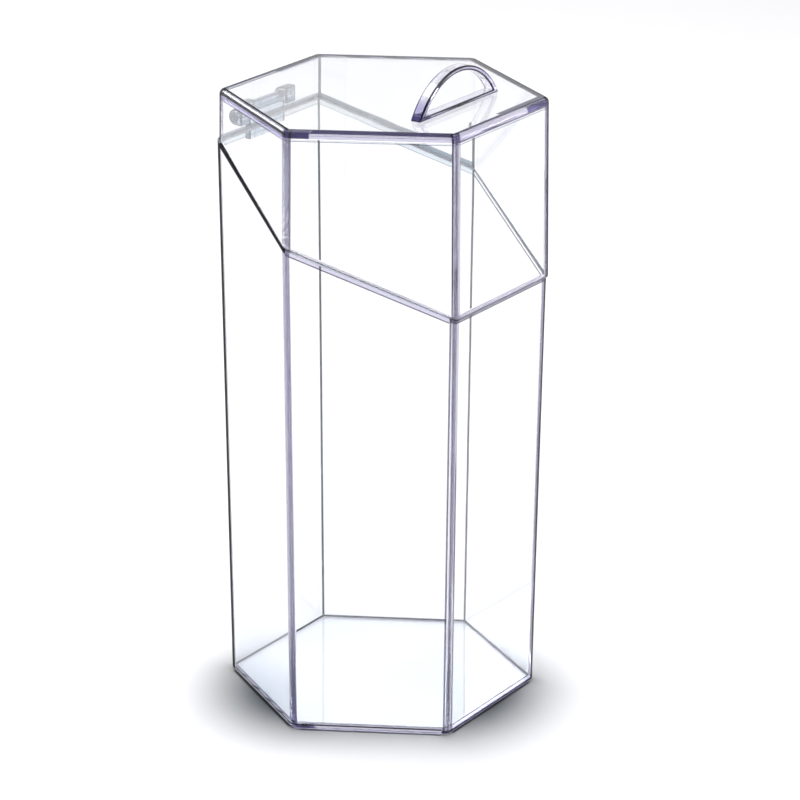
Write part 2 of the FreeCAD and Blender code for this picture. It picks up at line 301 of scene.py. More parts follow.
def boreOutline(outer, radius, start):
    # circle with as many points as the outline, in the same turning direction
    angle = math.radians(start) - np.linspace(0, 2 * math.pi, len(outer), endpoint=False)
    return radius * directions(angle)


def makeLeaf():
    # Up the front face, over the barrel, down the rear face of the plate and back along its foot.
    barrel = leafHigh.z - axisZ
    foot = leafLow.z - axisZ
    plateRear = hinge["leafThick"] - barrel
    outer = np.vstack([
        linePoints((-barrel, foot), (-barrel, 0), hinge["plateSteps"]),
        arcPoints((0, 0), barrel, 180, -90, hinge["barrelSteps"]),
        linePoints((plateRear, -barrel), (plateRear, foot), hinge["plateSteps"]),
        linePoints((plateRear, foot), (-barrel, foot), hinge["footSteps"]),
    ])
    inner = boreOutline(outer, hinge["barrelBore"], hinge["leafBoreStart"])
    halfWidth = (leafHigh.x - leafLow.x) / 2
    return ringSurface("hingeLeaf", outer, inner, (0, axisY, axisZ), halfWidth, hinge["edge"], "YZ")


def makeBlock(name, node):
    # Lug with a flat face on the lid and a half round nose behind the pin.
    low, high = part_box(node)
    radius = high.z - axisZ
    face = low.y - axisY
    outer = np.vstack([
        linePoints((face, -radius), (face, radius), hinge["faceSteps"]),
        linePoints((face, radius), (0, radius), hinge["lugSteps"]),
        arcPoints((0, 0), radius, 90, -90, hinge["noseSteps"]),
        linePoints((0, -radius), (face, -radius), hinge["lugSteps"]),
    ])
    inner = boreOutline(outer, hinge["seatBore"], hinge["blockBoreStart"])
    middle = ((low.x + high.x) / 2, axisY, axisZ)
    return ringSurface(name, outer, inner, middle, (high.x - low.x) / 2, hinge["edge"], "YZ")


def makePin():
    # Rod turned about X with chamfered ends.
    radius = (pinHigh.z - pinLow.z) / 2
    chamfer, guard, sides = hinge["pinChamfer"], shells["guard"], hinge["pinSides"]
    half = pinHigh.x
    profile = [(-half, radius - chamfer - guard), (-half, radius - chamfer)]
    profile += [(chamfer - half, radius), (chamfer + guard - half, radius)]
    profile += [(-x, r) for x, r in reversed(profile)]
    angle = np.linspace(0, 2 * math.pi, sides, endpoint=False)
    ring = np.column_stack([np.zeros(sides), np.cos(angle), np.sin(angle)])
    rows = np.array([ring * r + np.array((x, axisY, axisZ)) for x, r in profile])
    return surfacePiece("hingePin", rows, np.array([[-half, axisY, axisZ], [half, axisY, axisZ]]))


hingeLeaf = makeLeaf()
blockLeft = makeBlock("hingeBlockLeft", "lid_hinge_block_left")
blockRight = makeBlock("hingeBlockRight", "lid_hinge_block_right")
hingePin = makePin()
print("hinge: leaf, two blocks and pin")


def join(tree, value, socket):
    # a link from a node's output, otherwise a plain value
    if isinstance(value, bpy.types.NodeSocket):
        tree.links.new(value, socket)
    else:
        socket.default_value = value


def calc(tree, operation, *values):
    node = tree.nodes.new("ShaderNodeMath")
    node.operation = operation
    for value, socket in zip(values, node.inputs):
        join(tree, value, socket)
    return node.outputs[0]


def mixColours(tree, blend, factor, first, second):
    # the Mix node keeps its colours at inputs 6 and 7 and output 2
    node = tree.nodes.new("ShaderNodeMix")
    node.data_type = "RGBA"
    node.blend_type = blend
    for value, place in ((factor, 0), (first, 6), (second, 7)):
        join(tree, value, node.inputs[place])
    return node.outputs[2]


def makeGroup(name, inputs, outputs):
    tree = bpy.data.node_groups.new(name, "ShaderNodeTree")
    for label, value in inputs.items():
        socket = tree.interface.new_socket(name=label, in_out="INPUT", socket_type="NodeSocketFloat")
        socket.default_value = value
    for label in outputs:
        tree.interface.new_socket(name=label, in_out="OUTPUT", socket_type="NodeSocketFloat")
    given = tree.nodes.new("NodeGroupInput").outputs
    result = tree.nodes.new("NodeGroupOutput").inputs
    return tree, given, result


def useGroup(tree, group, values):
    node = tree.nodes.new("ShaderNodeGroup")
    node.node_tree = group
    for label, value in values.items():
        join(tree, value, node.inputs[label])
    return node.outputs


def objectPlace(tree):
    return tree.nodes.new("ShaderNodeTexCoord").outputs["Object"]


def makeShellPlaces():
    # Three panel normals n stand 60 degrees apart. Corner is min |p.n|, the distance from the nearest
    # plane through the axis and two corners. Depth is apothem(z) - max |p.n|: nought on the outer panels,
    # the wall on the inner ones. Rim is the height above the slanted rim's plane, Height is z, Side is y
    # and Across is x. The inputs are in metres, the outputs in millimetres.
    inputs = dict(Apothem=halfFlats, Lean=0.0, Middle=rimMid, Slope=rimSlope)
    outputs = ["Corner", "Depth", "Rim", "Height", "Side", "Across"]
    tree, given, result = makeGroup("shellPlaces", inputs, outputs)
    axes = tree.nodes.new("ShaderNodeSeparateXYZ")
    tree.links.new(objectPlace(tree), axes.inputs[0])
    x, y, z = axes.outputs
    halfY = calc(tree, "MULTIPLY", y, 0.5)
    wideX = calc(tree, "MULTIPLY", x, cos30)
    first = calc(tree, "ABSOLUTE", y)
    second = calc(tree, "ABSOLUTE", calc(tree, "ADD", halfY, wideX))
    third = calc(tree, "ABSOLUTE", calc(tree, "SUBTRACT", halfY, wideX))
    nearest = calc(tree, "MINIMUM", first, calc(tree, "MINIMUM", second, third))
    furthest = calc(tree, "MAXIMUM", first, calc(tree, "MAXIMUM", second, third))
    rise = calc(tree, "SUBTRACT", z, given["Middle"])
    apothem = calc(tree, "MULTIPLY_ADD", rise, given["Lean"], given["Apothem"])
    depth = calc(tree, "SUBTRACT", apothem, furthest)
    rim = calc(tree, "SUBTRACT", rise, calc(tree, "MULTIPLY", y, given["Slope"]))
    found = dict(Corner=nearest, Depth=depth, Rim=rim, Height=z, Side=y, Across=x)
    for label, value in found.items():
        tree.links.new(calc(tree, "DIVIDE", value, mm), result[label])
    return tree


def smoothStep(tree, value, limits):
    # 0 below the first limit, 1 above the second
    node = tree.nodes.new("ShaderNodeMapRange")
    node.interpolation_type = "SMOOTHSTEP"
    join(tree, value, node.inputs["Value"])
    for limit, label in zip(limits, ("From Min", "From Max")):
        join(tree, limit, node.inputs[label])
    return node.outputs["Result"]


def makeEdgeLine():
    # 1 where Value lies from Start to End, with a smooth step that reaches Soft to either side of both
    tree, given, result = makeGroup("edgeLine", dict(Value=0.0, Start=0.0, End=1.0, Soft=0.1), ["Mask"])
    steps = []
    for label in ("Start", "End"):
        limits = [calc(tree, sign, given[label], given["Soft"]) for sign in ("SUBTRACT", "ADD")]
        steps.append(smoothStep(tree, given["Value"], limits))
    tree.links.new(calc(tree, "SUBTRACT", *steps), result["Mask"])
    return tree


moulded = dict(
    scratchStretch=(1.0, 1.0, 0.08),     # a small number draws the scratches out along z
    scratchDetail=2.0,
    scratchShare=(0.6, 0.72),            # noise at which a scratch begins, and is full
    patchDetail=1.0,
    patchShare=(0.5, 0.68),
    waveDetail=1.0,
    cloudDetail=2.0,
    cloudShare=(0.3, 0.7),
)


def makeMouldedFinish():
    # Height: slow waviness of a moulded face. Scuff: fine upright scratches in patches. Cloud: uneven
    # tint. The inputs are scales of noise.
    inputs = dict(WaveScale=45.0, ScuffScale=900.0, PatchScale=38.0, CloudScale=16.0)
    tree, given, result = makeGroup("mouldedFinish", inputs, ["Height", "Scuff", "Cloud"])
    place = objectPlace(tree)
    upright = tree.nodes.new("ShaderNodeMapping")
    upright.inputs["Scale"].default_value = moulded["scratchStretch"]
    tree.links.new(place, upright.inputs["Vector"])

    def noise(vector, scale, detail):
        node = tree.nodes.new("ShaderNodeTexNoise")
        tree.links.new(vector, node.inputs["Vector"])
        tree.links.new(scale, node.inputs["Scale"])
        node.inputs["Detail"].default_value = detail
        return node.outputs["Fac"]

    scratches = noise(upright.outputs["Vector"], given["ScuffScale"], moulded["scratchDetail"])
    patches = noise(place, given["PatchScale"], moulded["patchDetail"])
    clouds = noise(place, given["CloudScale"], moulded["cloudDetail"])
    scratched = smoothStep(tree, scratches, moulded["scratchShare"])
    patched = smoothStep(tree, patches, moulded["patchShare"])
    tree.links.new(noise(place, given["WaveScale"], moulded["waveDetail"]), result["Height"])
    tree.links.new(calc(tree, "MULTIPLY", scratched, patched), result["Scuff"])
    tree.links.new(smoothStep(tree, clouds, moulded["cloudShare"]), result["Cloud"])
    return tree


shellPlaces = makeShellPlaces()
edgeLine = makeEdgeLine()
mouldedFinish = makeMouldedFinish()
plastic = dict(refraction=1.49, transmission=1.0, waveHeight=1.0 * mm)


def passTone(red, green, blue):
    # Colour that leaves this screen tone, 0 to 255, of white after one face: linear light, squared
    # because the shader takes the square root of its colour at each face.
    screen = np.array((red, green, blue)) / 255
    linear = ((screen + 0.055) / 1.055) ** 2.4
    return (*(linear * linear).tolist(), 1.0)


def clearPlastic(name, finishAndShade, findPlaces):
    # Polished clear plastic. Every entry of the painted lines darkens the band between its limits, where
    # a
    # face is seen from outside: painted shade and violet, for the dark edges that refraction draws.
    material = bpy.data.materials.new(name)
    material.use_nodes = True
    tree = material.node_tree
    shader = tree.nodes["Principled BSDF"]
    shader.inputs["IOR"].default_value = plastic["refraction"]
    shader.inputs["Transmission Weight"].default_value = plastic["transmission"]
    grain = useGroup(tree, mouldedFinish, finishAndShade["grain"])
    clear, cloudy = passTone(*finishAndShade["clear"]), passTone(*finishAndShade["cloudy"])
    plain = mixColours(tree, "MIX", grain["Cloud"], clear, cloudy)
    places = findPlaces(tree)
    colour = plain
    rough = calc(tree, "MULTIPLY_ADD", grain["Scuff"], finishAndShade["scuffRough"], finishAndShade["rough"])
    for entry in finishAndShade["paintedLines"]:
        mask = None
        for label, (start, end, *ownSoft) in entry["limits"].items():
            soft = ownSoft[0] if ownSoft else entry["soft"]
            values = dict(Value=places[label], Start=start, End=end, Soft=soft)
            share = useGroup(tree, edgeLine, values)["Mask"]
            mask = share if mask is None else calc(tree, "MULTIPLY", mask, share)
        colour = mixColours(tree, "MULTIPLY", mask, colour, passTone(*entry["tone"]))
        if entry["matt"] > 0:
            rough = calc(tree, "MULTIPLY_ADD", mask, entry["matt"], rough)
    facing = tree.nodes.new("ShaderNodeNewGeometry")
    colour = mixColours(tree, "MIX", facing.outputs["Backfacing"], colour, plain)
    tree.links.new(colour, shader.inputs["Base Color"])
    tree.links.new(rough, shader.inputs["Roughness"])
    bump = tree.nodes.new("ShaderNodeBump")
    bump.inputs["Strength"].default_value = finishAndShade["wave"]
    bump.inputs["Distance"].default_value = plastic["waveHeight"]
    tree.links.new(grain["Height"], bump.inputs["Height"])
    tree.links.new(bump.outputs["Normal"], shader.inputs["Normal"])
    volume = tree.nodes.new("ShaderNodeVolumeAbsorption")
    volume.inputs["Color"].default_value = (*finishAndShade["absorbColour"], 1)
    volume.inputs["Density"].default_value = finishAndShade["absorbDensity"]
    tree.links.new(volume.outputs["Volume"], tree.nodes["Material Output"].inputs["Volume"])
    return material


outside = (-2.0, 1.3)        # depth of the outer faces, mm
inside = (1.8, 4.0)          # depth of the inner faces, mm
rearSides = (0, 46)          # y of the panels beside the hinge panel
frontSides = (-46, 0)        # y of the panels beside the low front panel
front = (-60, -46)           # y of the low front panel
rear = (44, 60)              # y of the hinge panel
rearEnd = (30, 60)           # the hinge panel, its corners and a strip beside them
frontEnd = (-60, -30)        # the same at the low front panel
besideFront = (-47.2, -30)   # that strip alone
lidFront = (-60, -47.2)      # face of the low front panel, on the lid
bodyFront = (-60, -46.6)     # and on the body
footFront = (-60, -44)       # and at the foot
sideCorners = (-1.5, 0.2)    # y of the two corners at the sides
rearHalf = (0, 60)
frontHalf = (-60, 0)
leftHalf = (-60, 0)          # x
rightHalf = (0, 60)
edgeOn = (0.5, 1.2)          # faces seen at a low angle
seenSquare = (-1, 0.45)      # faces seen nearly square
lidTop = lidHigh.z / mm
violet = (0.55, 0.51, 0.7)   # what a long way through the plastic leaves of white


def paintedLine(tone, soft, matt=0.0, **limits):
    # Painted shade: band between the limits, in millimetres: tone of the light that passes, softness of
    # the band's ends and roughness added. A limit may carry a softness of its own as a third number.
    return dict(tone=tone, soft=soft, matt=matt, limits=limits)


def topEdge(below, above, **limits):
    # limits measured from the lid's top
    return dict(Height=(lidTop + below, lidTop + above), **limits)


lidFinishAndShade = dict(
    clear=(255, 255, 255),
    cloudy=(253, 254, 255),
    rough=0.0,
    scuffRough=0.12,
    wave=0.02,
    grain=dict(WaveScale=45.0, ScuffScale=900.0),
    absorbColour=violet,
    absorbDensity=10.0,
    # painted shade: dark and violet bands at corners, top edges and rim, darker on faces seen edge-on
    paintedLines=[
        # upright corners: side ones, front ones, edge-on ones, and the inner lines
        paintedLine((208, 206, 218), 0.1, Side=sideCorners, Depth=outside),
        paintedLine((135, 132, 146), 0.1, Side=(-1.8, -1.2), Depth=outside),
        paintedLine((190, 187, 200), 0.1, Side=(1.1, 1.7), Depth=outside),
        paintedLine((80, 74, 104), 0.08, Corner=(0.85, 1.45), Depth=outside, Side=besideFront),
        paintedLine((165, 161, 178), 0.1, Corner=(-1, 0.25), Depth=outside, Side=frontEnd),
        paintedLine((205, 202, 214), 0.1, Corner=(0.4, 1.7), Depth=outside, Side=lidFront),
        paintedLine((170, 167, 180), 0.15, Corner=(-1, 2.5), Depth=outside, Side=lidFront, Across=rightHalf),
        paintedLine((55, 53, 66), 0.06, 0.5, Corner=(-1, 1.9), Depth=outside, Side=frontEnd, Facing=edgeOn),
        paintedLine((50, 49, 58), 0.06, 0.6, Corner=(-1, 2.0), Depth=outside, Side=rearEnd, Facing=edgeOn),
        paintedLine((60, 72, 82), 0.1, **topEdge(-110, -3.4, Corner=(-1, 0.55), Depth=inside, Side=(20, 60))),
        paintedLine((85, 93, 99), 0.1, **topEdge(-110, -25, Corner=(-1, 0.55), Depth=inside, Side=(-60, 20))),
        # rear corners, seen from behind
        paintedLine((165, 161, 178), 0.1, Corner=(-1, 0.25), Depth=outside, Side=rearEnd, Facing=seenSquare),
        paintedLine((110, 104, 134), 0.08, Corner=(0.85, 1.45), Depth=outside, Side=rearEnd, Facing=seenSquare),
        paintedLine((205, 202, 214), 0.15, Corner=(-1, 2.2), Depth=outside, Side=rearEnd, Facing=seenSquare),
        # edge of the top beside the hinge panel, near and far
        paintedLine((20, 19, 26), 0.08, 0.9,
             **topEdge(-0.3, 1, Depth=(1.2, 2.0), Side=rearSides, Across=leftHalf)),
        paintedLine((28, 24, 48), 0.12, **topEdge(-1.7, -0.8, Depth=outside, Side=rearSides)),
        paintedLine((190, 184, 214), 0.3, **topEdge(-3.4, -1.6, Depth=outside, Side=rearSides)),
        paintedLine((35, 55, 120), 0.4, **topEdge(-2, 3, Depth=(-3, 3.8), Side=rearSides, Across=rightHalf)),
        paintedLine((205, 209, 222), 0.9, **topEdge(-2, 3, Depth=(-3, 5.4), Side=rearSides, Across=rightHalf)),
        paintedLine((35, 55, 115), 0.3, **topEdge(-2, 3, Depth=(-3, 3.0), Side=rear)),
        paintedLine((195, 200, 212), 1.2, **topEdge(-2, 3, Depth=(-3, 5.2), Side=rear)),
        # edge of the top beside the low front panel, near and far
        paintedLine((108, 106, 136), 0.08, 0.9,
             **topEdge(-0.9, 1, Depth=(-1, 2.0), Side=(-46, -6.8), Across=leftHalf)),
        paintedLine((92, 84, 136), 0.3, 0.4,
             **topEdge(-2.6, 1, Depth=(-1, 2.0), Side=(-6.8, 1.6), Across=leftHalf)),
        paintedLine((55, 58, 95), 0.4, **topEdge(-2, 3, Depth=(-3, 3.6), Side=frontSides, Across=rightHalf)),
        # edge of the top over the low front panel
        paintedLine((130, 128, 138), 0.08, 0.6, **topEdge(-0.3, 1, Depth=(1.0, 2.0), Side=front)),
        paintedLine((135, 133, 142), 0.1, **topEdge(-2.8, -2.4, Depth=outside, Side=front)),
        paintedLine((236, 233, 244), 0.15, **topEdge(-3.1, -1.6, Depth=outside, Side=front)),
        paintedLine((125, 119, 165), 0.3, **topEdge(-2.4, -0.4, Depth=outside, Side=front, Across=(13.5, 25.5))),
        # all round: underside of the top, corners of the top, faces seen at a low angle
        paintedLine((170, 170, 180), 0.06, **topEdge(-3.6, -3.3, Depth=outside)),
        paintedLine((150, 144, 178), 0.5,
             **topEdge(-2.6, 1, Depth=(-1, 2.2), Corner=(-1, 1.6), Side=(-60, -20))),
        paintedLine((120, 115, 150), 0.4, **topEdge(-2.6, 1, Depth=(-1, 2.2), Corner=(-1, 1.8), Side=rearEnd)),
        paintedLine((60, 62, 74), 0.06, 1.0, **topEdge(-1.9, 1, Depth=(-1, 1.7), Facing=(0.7, 1.2))),
        # slanted rim
        paintedLine((40, 38, 48), 0.05, 0.8, Rim=(-0.2, 0.6), Side=rearSides),
        paintedLine((240, 238, 246), 0.05, 0.4, Rim=(-0.2, 0.45), Side=frontHalf),
        paintedLine((150, 147, 158), 0.06, Rim=(0.4, 0.8), Depth=outside, Side=frontSides),
        paintedLine((125, 122, 134), 0.05, Rim=(0.3, 0.9), Depth=outside, Side=front),
        paintedLine((140, 149, 158), 0.25, Rim=(0.8, 2.9), Depth=inside, Side=(45, 60)),
        paintedLine((84, 102, 116), 0.25, Rim=(0.8, 2.9), Depth=inside, Side=(15, 45)),
        paintedLine((150, 162, 170), 0.25, Rim=(0.8, 2.9), Depth=inside, Side=(0, 15)),
        paintedLine((58, 58, 62), 0.06, Rim=(0.3, 1.0), Depth=inside, Side=frontSides, Across=rightHalf),
    ],
)
bodyFinishAndShade = dict(
    clear=(255, 255, 255),
    cloudy=(253, 254, 255),
    rough=0.0,
    scuffRough=0.12,
    wave=0.02,
    grain=dict(WaveScale=38.0, ScuffScale=800.0),
    absorbColour=violet,
    absorbDensity=10.0,
    # painted shade: dark and violet bands at corners, rim and foot, and a faint tint towards the foot
    paintedLines=[
        # upright corners: side ones, front ones, edge-on ones, and the inner lines
        paintedLine((200, 198, 210), 0.1, Side=sideCorners, Depth=outside),
        paintedLine((225, 223, 232), 0.1, Side=(1.0, 1.6), Depth=outside),
        paintedLine((130, 127, 144), 0.08, Corner=(1.1, 1.7), Depth=outside, Side=besideFront),
        paintedLine((180, 177, 190), 0.15, Corner=(-1, 0.3), Depth=outside, Side=frontEnd),
        paintedLine((200, 197, 210), 0.1, Corner=(0.4, 1.7), Depth=outside, Side=bodyFront),
        paintedLine((190, 188, 200), 0.2, Corner=(-1, 2.6), Depth=outside, Side=bodyFront, Across=rightHalf),
        paintedLine((55, 54, 66), 0.06, 0.5, Corner=(-1, 1.9), Depth=outside, Side=frontEnd, Facing=edgeOn),
        paintedLine((24, 24, 29), 0.06, 0.8, Corner=(-1, 2.9), Depth=outside, Side=rearEnd, Facing=edgeOn),
        paintedLine((72, 76, 82), 0.08, Corner=(-1, 0.42), Depth=inside, Height=(2, 250)),
        # rear corners, seen from behind
        paintedLine((180, 177, 190), 0.15, Corner=(-1, 0.3), Depth=outside, Side=rearEnd, Facing=seenSquare),
        paintedLine((130, 127, 144), 0.08, Corner=(1.1, 1.7), Depth=outside, Side=rearEnd, Facing=seenSquare),
        paintedLine((200, 197, 210), 0.15, Corner=(-1, 2.4), Depth=outside, Side=rearEnd, Facing=seenSquare),
        # cooler and more violet towards the foot
        paintedLine((252, 253, 254), 55.0, Height=(-60, 60)),
        paintedLine((250, 252, 254), 0.1, Height=(-60, 45, 40), Depth=outside, Side=rearSides),
        paintedLine((190, 183, 226), 0.1, Height=(-30, 24, 30), Depth=outside, Side=sideCorners),
        # foot
        paintedLine((100, 103, 112), 0.1, Height=(1.4, 2.0), Depth=(2.3, 3.2)),
        paintedLine((232, 233, 240), 0.7, Height=(2.0, 3.6), Depth=outside, Side=rearSides),
        paintedLine((30, 31, 38), 0.08, Height=(1.35, 1.95), Depth=outside, Side=(-44, 60)),
        paintedLine((20, 21, 28), 0.08, 0.3, Height=(-1, 0.9), Depth=outside, Side=rearSides),
        paintedLine((185, 187, 192), 0.1, Height=(0.4, 0.75), Depth=outside, Side=(-44, 0)),
        paintedLine((70, 70, 92), 0.1, 0.4, Height=(0.3, 1.5), Depth=outside, Side=footFront),
        paintedLine((205, 206, 218), 0.15, 0.3, Height=(1.5, 2.6), Depth=outside, Side=footFront),
        paintedLine((150, 150, 168), 0.1, Height=(-1, 0.3), Depth=outside, Side=footFront),
        paintedLine((120, 114, 155), 0.2, Height=(-1, 1.5), Depth=outside, Side=(-6.8, -1.2), Across=leftHalf),
        # slanted rim
        paintedLine((20, 19, 26), 0.06, 0.9, Rim=(-1.4, 0.2), Depth=outside, Side=rearSides),
        paintedLine((212, 208, 224), 0.06, Rim=(-1.4, -0.1), Depth=outside, Side=frontSides),
        paintedLine((100, 97, 110), 0.06, Rim=(-1.75, -1.3), Depth=outside, Side=frontSides),
        paintedLine((150, 148, 160), 0.06, Rim=(-0.9, 0.2), Depth=outside, Side=front),
        paintedLine((125, 122, 132), 0.06, Rim=(-1.2, -0.8), Depth=outside, Side=front),
        paintedLine((228, 234, 237), 0.15, Rim=(-1.4, -0.2), Depth=inside, Side=rearHalf),
        paintedLine((185, 190, 195), 0.08, Rim=(-1.7, -1.35), Depth=inside, Side=rearHalf),
        paintedLine((62, 62, 66), 0.06, Rim=(-1.7, -1.05), Depth=inside, Side=frontSides, Across=rightHalf),
        paintedLine((205, 212, 216), 0.05, 0.4, Rim=(-0.2, 0.2)),
    ],
)
handleFinishAndShade = dict(
    clear=(255, 255, 255),
    cloudy=(250, 249, 254),
    rough=0.0,
    scuffRough=0.15,
    wave=0.05,
    grain=dict(WaveScale=160.0, ScuffScale=1500.0, PatchScale=120.0),
    absorbColour=violet,
    absorbDensity=15.0,
    # painted shade: dark outlines and violet bands on the edges, the bar and the left foot
    paintedLines=[
        # near face, its edges, the far edges, the bar, and the foot at the left
        paintedLine((214, 209, 230), 0.12, Side=(-3, -1.7)),
        paintedLine((30, 27, 42), 0.08, Edge=(-1, 0.3), Side=(-3, 0)),
        paintedLine((110, 105, 135), 0.08, Edge=(-1, 0.2), Side=(0, 3)),
        paintedLine((130, 122, 162), 0.15, Lift=(-1, 0.5)),
        paintedLine((115, 106, 165), 0.8, Lift=(-4, 2.0), Across=(-30, -17)),
        paintedLine((200, 194, 222), 2.0, Lift=(-4, 6), Across=(-30, -16)),
    ],
)
hingeFinishAndShade = dict(
    clear=(255, 255, 255),
    cloudy=(226, 234, 241),
    rough=0.0,
    scuffRough=0.2,
    wave=0.12,
    grain=dict(WaveScale=500.0, ScuffScale=1600.0, PatchScale=160.0, CloudScale=500.0),
    absorbColour=(0.58, 0.66, 0.73),
    absorbDensity=150.0,
    # painted shade: dark lines on the side edges and along the tops of the blocks and barrel
    paintedLines=[
        # side edges, top of the blocks, top of the barrel
        paintedLine((45, 52, 64), 0.08, Edge=(-1, 0.35)),
        paintedLine((95, 104, 116), 0.1, Lift=(2.2, 3.35)),
        paintedLine((120, 130, 142), 0.1, Lift=(1.25, 1.75)),
    ],
)
pinFinish = dict(
    clear=(250, 252, 255),
    cloudy=(215, 224, 232),
    rough=0.02,
    scuffRough=0.2,
    wave=0.1,
    grain=dict(WaveScale=500.0, ScuffScale=2200.0, PatchScale=200.0, CloudScale=400.0),
    absorbColour=(0.58, 0.66, 0.73),
    absorbDensity=260.0,
    paintedLines=[],
)


def findShell(draft):
    # the places on a shell with this draft, and how far a face turns from the eye
    lean = math.tan(math.radians(draft))

    def find(tree):
        values = dict(Apothem=halfFlats, Lean=lean, Middle=rimMid, Slope=rimSlope)
        places = dict(useGroup(tree, shellPlaces, values).items())
        places["Facing"] = tree.nodes.new("ShaderNodeLayerWeight").outputs["Facing"]     # 1 - |N.V|
        return places

    return find


def findEdges(origin):
    # distance from the nearest edge, then x, y and z from the origin, in millimetres
    def find(tree):
        layer = tree.nodes.new("ShaderNodeUVMap")
        layer.uv_map = "edgeMap"
        split = tree.nodes.new("ShaderNodeSeparateXYZ")
        tree.links.new(layer.outputs["UV"], split.inputs[0])
        axes = tree.nodes.new("ShaderNodeSeparateXYZ")
        tree.links.new(objectPlace(tree), axes.inputs[0])
        places = dict(Edge=split.outputs["Y"])
        for label, value, zero in zip(("Across", "Side", "Lift"), axes.outputs, origin):
            places[label] = calc(tree, "DIVIDE", calc(tree, "SUBTRACT", value, zero), mm)
        return places

    return find


def findNothing(tree):
    # the pin has no painted lines
    return {}


bodyPlastic = clearPlastic("bodyPlastic", bodyFinishAndShade, findShell(shells["bodyDraft"]))
lidPlastic = clearPlastic("lidPlastic", lidFinishAndShade, findShell(shells["lidDraft"]))
handlePlastic = clearPlastic("handlePlastic", handleFinishAndShade, findEdges(handleFoot))
hingePlastic = clearPlastic("hingePlastic", hingeFinishAndShade, findEdges(pinMiddle))
pinPlastic = clearPlastic("pinPlastic", pinFinish, findNothing)
pieces = [
    (bodyClear, "canister", "body_shell", "clear_shell", bodyPlastic),
    (lidClear, "lid", "lid_shell", "clear_shell", lidPlastic),
    (handleLoop, "lid", "lid_handle", "clear_handle", handlePlastic),
    (hingeLeaf, "canister", "body_hinge_leaf", "hinge_plastic", hingePlastic),
    (blockLeft, "lid", "lid_hinge_block_left", "hinge_plastic", hingePlastic),
    (blockRight, "lid", "lid_hinge_block_right", "hinge_plastic", hingePlastic),
    (hingePin, "lid", "hinge_pin", "hinge_pin_plastic", pinPlastic),
]
for piece, body, node, slotName, material in pieces:
    piece.data.materials.append(material)
    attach(piece, body)
    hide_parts(node)
print("materials and bodies set")

camera = dict(
    azimuth=-55.41,         # degrees, like the next two: all fitted to the corners seen in the photo
    elevation=20.987,
    roll=0.2883,
    distance=1137.6 * mm,
    focalPixels=3348.6,
    imagePixels=800,
    sensor=36.0,
    clip=(0.05, 50),
    height=108.04 * mm,     # the point looked at, before the two offsets below
    aside=5.895 * mm,
    above=-5.001 * mm,
)


def placeCamera():
    turn, tilt, roll = (math.radians(camera[key]) for key in ("azimuth", "elevation", "roll"))
    back = Vector((math.sin(turn) * math.cos(tilt), -math.cos(turn) * math.cos(tilt), math.sin(tilt)))
    right = Vector((math.cos(turn), math.sin(turn), 0))
    up = back.cross(right)
    target = Vector((0, 0, camera["height"])) + right * camera["aside"] + up * camera["above"]
    rolledRight = right * math.cos(roll) + up * math.sin(roll)
    rolledUp = up * math.cos(roll) - right * math.sin(roll)
    data = bpy.data.cameras.new("photoCamera")
    data.sensor_width = camera["sensor"]
    data.lens = camera["focalPixels"] / camera["imagePixels"] * camera["sensor"]
    data.clip_start, data.clip_end = camera["clip"]
    holder = bpy.data.objects.new("photoCamera", data)
    axes = Matrix((rolledRight, rolledUp, back)).transposed().to_4x4()
    holder.matrix_world = Matrix.Translation(target + back * camera["distance"]) @ axes
    bpy.context.scene.collection.objects.link(holder)
    bpy.context.scene.camera = holder


placeCamera()

studio = dict(
    floorRadius=6.0,
    floorSides=96,
    floorDrop=0.3 * mm,      # air under the flat underside
    floorTone=(0.9, 0.9, 0.9, 1),
    underLightTone=(0.98, 0.98, 0.98, 1),
    contactShadeTone=(0.36, 0.35, 0.38, 1),
    underLightEdge=dict(Start=0.7, End=100.0, Soft=0.2),        # painted light, whiter than the floor: depth inside the foot, mm
    contactShadeEdge=dict(Start=-0.4, End=100.0, Soft=0.15),    # painted contact shadow round it, depth again
    contactShadeSide=dict(Start=2.2, End=100.0, Soft=0.6),      # and its distance from the corners
    shadowTone=(0.005, 0.02, 0.028, 1),
    shadowMiddle=(-11.05 * mm, -6.3 * mm, 0),
    shadowReach=(37.9 * mm, 46.8 * mm, 1),
    shadowStraight=0.7,      # half length of the shadow's straight part, in reaches
    shadowFade=(0.18, 1.26),
    skyHorizon=(1.0, 1.0, 1.0),
    skyZenith=(0.05, 0.045, 0.08),
    skyFade=(0.45, 0.75),    # sine of the elevation
    topPower=28.5,
    topSize=(1.4, 1.4),
    topPlace=(0.12, 0.17, 1.65),
    glintPower=4.0,          # narrow lamp behind, for the white streak along the top's edge
    glintSize=(0.6, 0.3),
    glintPlace=(0.35, 1.75, 0.92),
    lampTarget=(0, 0, 0.1),
    clearBounces=48,         # light passes many walls of the canister
    glossyBounces=32,
)


